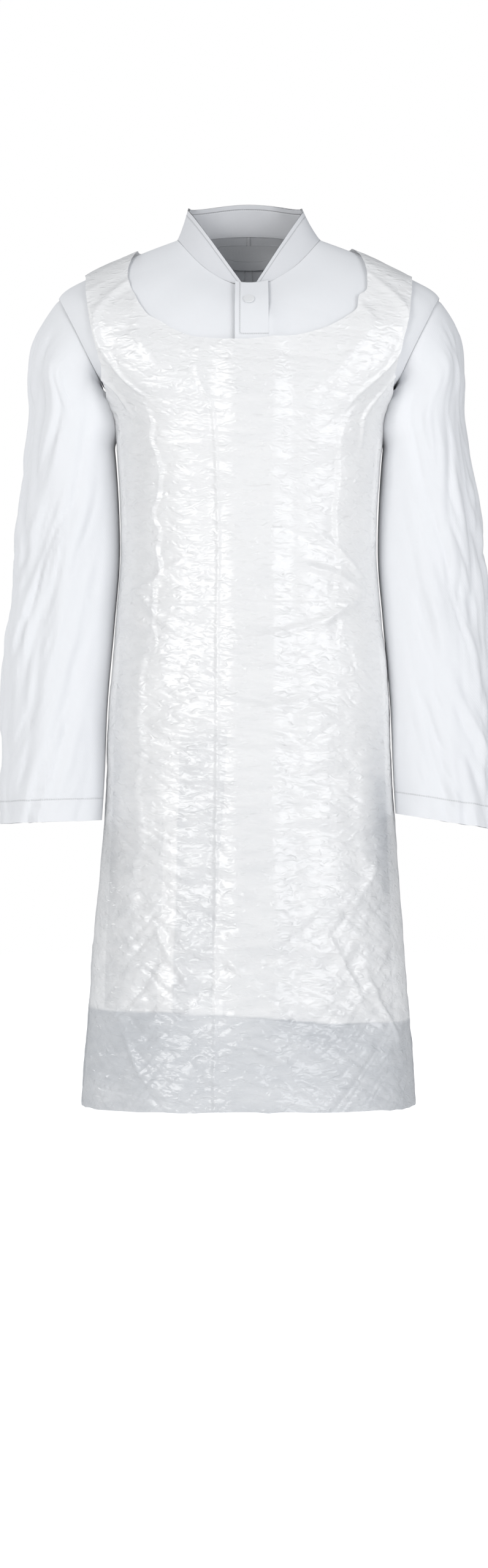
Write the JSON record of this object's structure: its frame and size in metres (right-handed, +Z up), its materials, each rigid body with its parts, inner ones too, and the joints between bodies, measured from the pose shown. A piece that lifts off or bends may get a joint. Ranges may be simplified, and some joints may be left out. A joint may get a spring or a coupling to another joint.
{
  "type": "lab coat with disposable apron",
  "caption": "Long-sleeved white lab coat with a stand collar and a covered press-stud front, worn under a clear disposable film apron tied at the waist.",
  "frame": {"origin": "middle of the neck, level with the side of the neck seam", "axes": "+X to the wearer's left, -Y to the wearer's front, +Z up"},
  "size_m": [0.6028, 0.3057, 1.1158],
  "materials": {
    "coat_cloth": "matte plain-weave polyester and cotton",
    "coat_facing": "matte plain-weave polyester and cotton",
    "apron_film": "glossy crumpled film",
    "press_stud": "satin"
  },
  "bodies": {
    "coat_body": {"back_left_panel": "coat_cloth", "back_right_panel": "coat_cloth", "front_left_panel": "coat_cloth", "front_right_panel": "coat_cloth", "collar_outer": "coat_cloth", "collar_inner": "coat_cloth", "front_flap": "coat_cloth", "left_sleeve_head": "coat_cloth", "right_sleeve_head": "coat_cloth", "left_facing": "coat_facing", "right_facing": "coat_facing", "hem_front_left": "coat_facing", "hem_front_right": "coat_facing", "hem_back": "coat_facing", "collar_interlining": "coat_facing", "blank_label": "coat_facing", "hanging_loop": "coat_facing", "apron_bib": "apron_film", "apron_neck_loop": "apron_film", "apron_waist": "apron_film", "left_tie": "apron_film", "right_tie": "apron_film", "tie_knot": "apron_film", "left_tie_tail": "apron_film", "right_tie_tail": "apron_film", "press_stud_1": "press_stud", "press_stud_2": "press_stud", "press_stud_3": "press_stud", "press_stud_4": "press_stud", "press_stud_5": "press_stud", "press_socket_2": "press_stud", "press_socket_3": "press_stud", "press_socket_4": "press_stud", "press_socket_5": "press_stud"},
    "throat_flap": {"throat_tab": "coat_cloth", "press_cap": "press_stud", "press_socket_1": "press_stud"},
    "left_upper_arm": {"left_upper_sleeve": "coat_cloth", "left_elbow": "coat_cloth"},
    "left_forearm": {"left_lower_sleeve": "coat_cloth", "left_cuff_fold": "coat_facing"},
    "right_upper_arm": {"right_upper_sleeve": "coat_cloth", "right_elbow": "coat_cloth"},
    "right_forearm": {"right_lower_sleeve": "coat_cloth", "right_cuff_fold": "coat_facing"},
    "apron_lower": {"apron_skirt": "apron_film"}
  },
  "joints": [
    {"name": "left_shoulder", "type": "hinge", "parent": "coat_body", "child": "left_upper_arm", "pos_m": [0.195, 0, -0.105], "axis": [0, -1, 0], "range_deg": [0, 70], "deforming": ["left_sleeve_head"]},
    {"name": "right_shoulder", "type": "hinge", "parent": "coat_body", "child": "right_upper_arm", "pos_m": [-0.195, 0, -0.105], "axis": [0, 1, 0], "range_deg": [0, 70], "deforming": ["right_sleeve_head"]},
    {"name": "left_elbow", "type": "hinge", "parent": "left_upper_arm", "child": "left_forearm", "pos_m": [0.2275, -0.012, -0.4], "axis": [-1, 0, 0], "range_deg": [0, 90], "deforming": ["left_elbow"]},
    {"name": "right_elbow", "type": "hinge", "parent": "right_upper_arm", "child": "right_forearm", "pos_m": [-0.2275, -0.012, -0.4], "axis": [-1, 0, 0], "range_deg": [0, 90], "deforming": ["right_elbow"]},
    {"name": "apron_lift", "type": "hinge", "parent": "coat_body", "child": "apron_lower", "pos_m": [0, -0.06, -0.43], "axis": [-1, 0, 0], "range_deg": [0, 50], "deforming": ["apron_waist"]},
    {"name": "throat_opening", "type": "hinge", "parent": "coat_body", "child": "throat_flap", "pos_m": [0.021, -0.124, -0.127], "axis": [0, 0.5145, 0.8575], "range_deg": [0, 110]}
  ]
}
